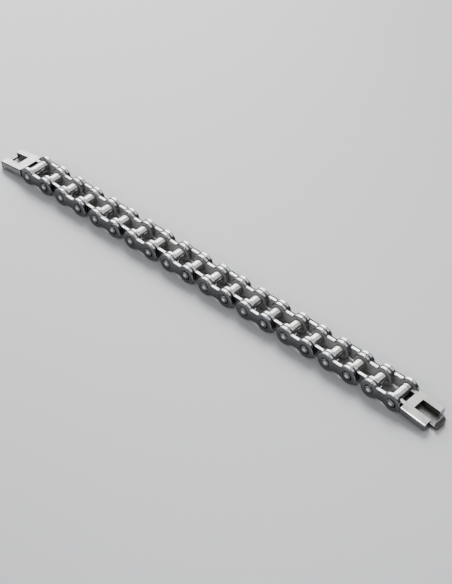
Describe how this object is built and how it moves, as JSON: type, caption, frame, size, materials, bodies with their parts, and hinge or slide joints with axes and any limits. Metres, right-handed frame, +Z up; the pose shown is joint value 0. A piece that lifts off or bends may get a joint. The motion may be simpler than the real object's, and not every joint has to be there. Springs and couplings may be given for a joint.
{
  "type": "roller chain bracelet",
  "caption": "Roller-chain bracelet: figure-eight side plates, riveted pins, bushings and free rollers, closed by a hook-and-bar clasp at its ends.",
  "frame": {"origin": "middle of the bottom of the bounding box, on the surface that the stretched-out chain lies on", "axes": "+X along the chain from the bar clasp to the hook clasp, +Y along the pins, +Z up"},
  "size_m": [0.2134, 0.012, 0.0074],
  "materials": {
    "outer_plates": "mirror-polished stainless steel",
    "inner_plates": "mirror-polished stainless steel",
    "pins": "polished domed rivet heads",
    "bushings": "plain turned steel",
    "rollers": "polished with fine turning marks",
    "clasps": "satin-brushed top and bottom, polished sides and bevels"
  },
  "bodies": {
    "inner_link_05": {"inner_link_05_plates": "inner_plates", "inner_link_05_bushings": "bushings"},
    "outer_link_01": {"outer_link_01_plates": "outer_plates", "outer_link_01_pins": "pins"},
    "outer_link_02": {"outer_link_02_plates": "outer_plates", "outer_link_02_pins": "pins"},
    "outer_link_03": {"outer_link_03_plates": "outer_plates", "outer_link_03_pins": "pins"},
    "outer_link_04": {"outer_link_04_plates": "outer_plates", "outer_link_04_pins": "pins"},
    "outer_link_05": {"outer_link_05_plates": "outer_plates", "outer_link_05_pins": "pins"},
    "outer_link_06": {"outer_link_06_plates": "outer_plates", "outer_link_06_pins": "pins"},
    "outer_link_07": {"outer_link_07_plates": "outer_plates", "outer_link_07_pins": "pins"},
    "outer_link_08": {"outer_link_08_plates": "outer_plates", "outer_link_08_pins": "pins"},
    "outer_link_09": {"outer_link_09_plates": "outer_plates", "outer_link_09_pins": "pins"},
    "outer_link_10": {"outer_link_10_plates": "outer_plates", "outer_link_10_pins": "pins"},
    "inner_link_01": {"inner_link_01_plates": "inner_plates", "inner_link_01_bushings": "bushings"},
    "inner_link_02": {"inner_link_02_plates": "inner_plates", "inner_link_02_bushings": "bushings"},
    "inner_link_03": {"inner_link_03_plates": "inner_plates", "inner_link_03_bushings": "bushings"},
    "inner_link_04": {"inner_link_04_plates": "inner_plates", "inner_link_04_bushings": "bushings"},
    "inner_link_06": {"inner_link_06_plates": "inner_plates", "inner_link_06_bushings": "bushings"},
    "inner_link_07": {"inner_link_07_plates": "inner_plates", "inner_link_07_bushings": "bushings"},
    "inner_link_08": {"inner_link_08_plates": "inner_plates", "inner_link_08_bushings": "bushings"},
    "inner_link_09": {"inner_link_09_plates": "inner_plates", "inner_link_09_bushings": "bushings"},
    "bar_clasp": {"bar_clasp": "clasps"},
    "hook_clasp": {"hook_clasp": "clasps"},
    "roller_01": {"roller_01": "rollers"},
    "roller_02": {"roller_02": "rollers"},
    "roller_03": {"roller_03": "rollers"},
    "roller_04": {"roller_04": "rollers"},
    "roller_05": {"roller_05": "rollers"},
    "roller_06": {"roller_06": "rollers"},
    "roller_07": {"roller_07": "rollers"},
    "roller_08": {"roller_08": "rollers"},
    "roller_09": {"roller_09": "rollers"},
    "roller_10": {"roller_10": "rollers"},
    "roller_11": {"roller_11": "rollers"},
    "roller_12": {"roller_12": "rollers"},
    "roller_13": {"roller_13": "rollers"},
    "roller_14": {"roller_14": "rollers"},
    "roller_15": {"roller_15": "rollers"},
    "roller_16": {"roller_16": "rollers"},
    "roller_17": {"roller_17": "rollers"},
    "roller_18": {"roller_18": "rollers"},
    "roller_19": {"roller_19": "rollers"},
    "roller_20": {"roller_20": "rollers"}
  },
  "joints": [
    {"name": "hinge_01", "type": "hinge", "parent": "outer_link_01", "child": "bar_clasp", "pos_m": [-0.09113, 0, 0.0037], "axis": [0, -1, 0], "range_deg": [-90, 90]},
    {"name": "hinge_02", "type": "hinge", "parent": "inner_link_01", "child": "outer_link_01", "pos_m": [-0.08163, 0, 0.0037], "axis": [0, 1, 0], "range_deg": [-90, 90]},
    {"name": "hinge_03", "type": "hinge", "parent": "outer_link_02", "child": "inner_link_01", "pos_m": [-0.07213, 0, 0.0037], "axis": [0, 1, 0], "range_deg": [-90, 90]},
    {"name": "hinge_04", "type": "hinge", "parent": "inner_link_02", "child": "outer_link_02", "pos_m": [-0.06263, 0, 0.0037], "axis": [0, -1, 0], "range_deg": [-90, 90]},
    {"name": "hinge_05", "type": "hinge", "parent": "outer_link_03", "child": "inner_link_02", "pos_m": [-0.05313, 0, 0.0037], "axis": [0, -1, 0], "range_deg": [-90, 90]},
    {"name": "hinge_06", "type": "hinge", "parent": "inner_link_03", "child": "outer_link_03", "pos_m": [-0.04363, 0, 0.0037], "axis": [0, 1, 0], "range_deg": [-90, 90]},
    {"name": "hinge_07", "type": "hinge", "parent": "outer_link_04", "child": "inner_link_03", "pos_m": [-0.03413, 0, 0.0037], "axis": [0, 1, 0], "range_deg": [-90, 90]},
    {"name": "hinge_08", "type": "hinge", "parent": "inner_link_04", "child": "outer_link_04", "pos_m": [-0.02463, 0, 0.0037], "axis": [0, -1, 0], "range_deg": [-90, 90]},
    {"name": "hinge_09", "type": "hinge", "parent": "outer_link_05", "child": "inner_link_04", "pos_m": [-0.01513, 0, 0.0037], "axis": [0, -1, 0], "range_deg": [-90, 90]},
    {"name": "hinge_10", "type": "hinge", "parent": "inner_link_05", "child": "outer_link_05", "pos_m": [-0.00563, 0, 0.0037], "axis": [0, 1, 0], "range_deg": [-90, 90]},
    {"name": "hinge_11", "type": "hinge", "parent": "inner_link_05", "child": "outer_link_06", "pos_m": [0.00387, 0, 0.0037], "axis": [0, -1, 0], "range_deg": [-90, 90]},
    {"name": "hinge_12", "type": "hinge", "parent": "outer_link_06", "child": "inner_link_06", "pos_m": [0.01337, 0, 0.0037], "axis": [0, 1, 0], "range_deg": [-90, 90]},
    {"name": "hinge_13", "type": "hinge", "parent": "inner_link_06", "child": "outer_link_07", "pos_m": [0.02287, 0, 0.0037], "axis": [0, 1, 0], "range_deg": [-90, 90]},
    {"name": "hinge_14", "type": "hinge", "parent": "outer_link_07", "child": "inner_link_07", "pos_m": [0.03237, 0, 0.0037], "axis": [0, -1, 0], "range_deg": [-90, 90]},
    {"name": "hinge_15", "type": "hinge", "parent": "inner_link_07", "child": "outer_link_08", "pos_m": [0.04187, 0, 0.0037], "axis": [0, -1, 0], "range_deg": [-90, 90]},
    {"name": "hinge_16", "type": "hinge", "parent": "outer_link_08", "child": "inner_link_08", "pos_m": [0.05137, 0, 0.0037], "axis": [0, 1, 0], "range_deg": [-90, 90]},
    {"name": "hinge_17", "type": "hinge", "parent": "inner_link_08", "child": "outer_link_09", "pos_m": [0.06087, 0, 0.0037], "axis": [0, 1, 0], "range_deg": [-90, 90]},
    {"name": "hinge_18", "type": "hinge", "parent": "outer_link_09", "child": "inner_link_09", "pos_m": [0.07037, 0, 0.0037], "axis": [0, -1, 0], "range_deg": [-90, 90]},
    {"name": "hinge_19", "type": "hinge", "parent": "inner_link_09", "child": "outer_link_10", "pos_m": [0.07987, 0, 0.0037], "axis": [0, -1, 0], "range_deg": [-90, 90]},
    {"name": "hinge_20", "type": "hinge", "parent": "outer_link_10", "child": "hook_clasp", "pos_m": [0.08937, 0, 0.0037], "axis": [0, 1, 0], "range_deg": [-90, 90]},
    {"name": "roller_01_spin", "type": "hinge", "parent": "bar_clasp", "child": "roller_01", "pos_m": [-0.09113, 0, 0.0037], "axis": [0, 1, 0], "continuous": true},
    {"name": "roller_02_spin", "type": "hinge", "parent": "inner_link_01", "child": "roller_02", "pos_m": [-0.08163, 0, 0.0037], "axis": [0, 1, 0], "continuous": true},
    {"name": "roller_03_spin", "type": "hinge", "parent": "inner_link_01", "child": "roller_03", "pos_m": [-0.07213, 0, 0.0037], "axis": [0, 1, 0], "continuous": true},
    {"name": "roller_04_spin", "type": "hinge", "parent": "inner_link_02", "child": "roller_04", "pos_m": [-0.06263, 0, 0.0037], "axis": [0, 1, 0], "continuous": true},
    {"name": "roller_05_spin", "type": "hinge", "parent": "inner_link_02", "child": "roller_05", "pos_m": [-0.05313, 0, 0.0037], "axis": [0, 1, 0], "continuous": true},
    {"name": "roller_06_spin", "type": "hinge", "parent": "inner_link_03", "child": "roller_06", "pos_m": [-0.04363, 0, 0.0037], "axis": [0, 1, 0], "continuous": true},
    {"name": "roller_07_spin", "type": "hinge", "parent": "inner_link_03", "child": "roller_07", "pos_m": [-0.03413, 0, 0.0037], "axis": [0, 1, 0], "continuous": true},
    {"name": "roller_08_spin", "type": "hinge", "parent": "inner_link_04", "child": "roller_08", "pos_m": [-0.02463, 0, 0.0037], "axis": [0, 1, 0], "continuous": true},
    {"name": "roller_09_spin", "type": "hinge", "parent": "inner_link_04", "child": "roller_09", "pos_m": [-0.01513, 0, 0.0037], "axis": [0, 1, 0], "continuous": true},
    {"name": "roller_10_spin", "type": "hinge", "parent": "inner_link_05", "child": "roller_10", "pos_m": [-0.00563, 0, 0.0037], "axis": [0, 1, 0], "continuous": true},
    {"name": "roller_11_spin", "type": "hinge", "parent": "inner_link_05", "child": "roller_11", "pos_m": [0.00387, 0, 0.0037], "axis": [0, 1, 0], "continuous": true},
    {"name": "roller_12_spin", "type": "hinge", "parent": "inner_link_06", "child": "roller_12", "pos_m": [0.01337, 0, 0.0037], "axis": [0, 1, 0], "continuous": true},
    {"name": "roller_13_spin", "type": "hinge", "parent": "inner_link_06", "child": "roller_13", "pos_m": [0.02287, 0, 0.0037], "axis": [0, 1, 0], "continuous": true},
    {"name": "roller_14_spin", "type": "hinge", "parent": "inner_link_07", "child": "roller_14", "pos_m": [0.03237, 0, 0.0037], "axis": [0, 1, 0], "continuous": true},
    {"name": "roller_15_spin", "type": "hinge", "parent": "inner_link_07", "child": "roller_15", "pos_m": [0.04187, 0, 0.0037], "axis": [0, 1, 0], "continuous": true},
    {"name": "roller_16_spin", "type": "hinge", "parent": "inner_link_08", "child": "roller_16", "pos_m": [0.05137, 0, 0.0037], "axis": [0, 1, 0], "continuous": true},
    {"name": "roller_17_spin", "type": "hinge", "parent": "inner_link_08", "child": "roller_17", "pos_m": [0.06087, 0, 0.0037], "axis": [0, 1, 0], "continuous": true},
    {"name": "roller_18_spin", "type": "hinge", "parent": "inner_link_09", "child": "roller_18", "pos_m": [0.07037, 0, 0.0037], "axis": [0, 1, 0], "continuous": true},
    {"name": "roller_19_spin", "type": "hinge", "parent": "inner_link_09", "child": "roller_19", "pos_m": [0.07987, 0, 0.0037], "axis": [0, 1, 0], "continuous": true},
    {"name": "roller_20_spin", "type": "hinge", "parent": "hook_clasp", "child": "roller_20", "pos_m": [0.08937, 0, 0.0037], "axis": [0, 1, 0], "continuous": true}
  ]
}
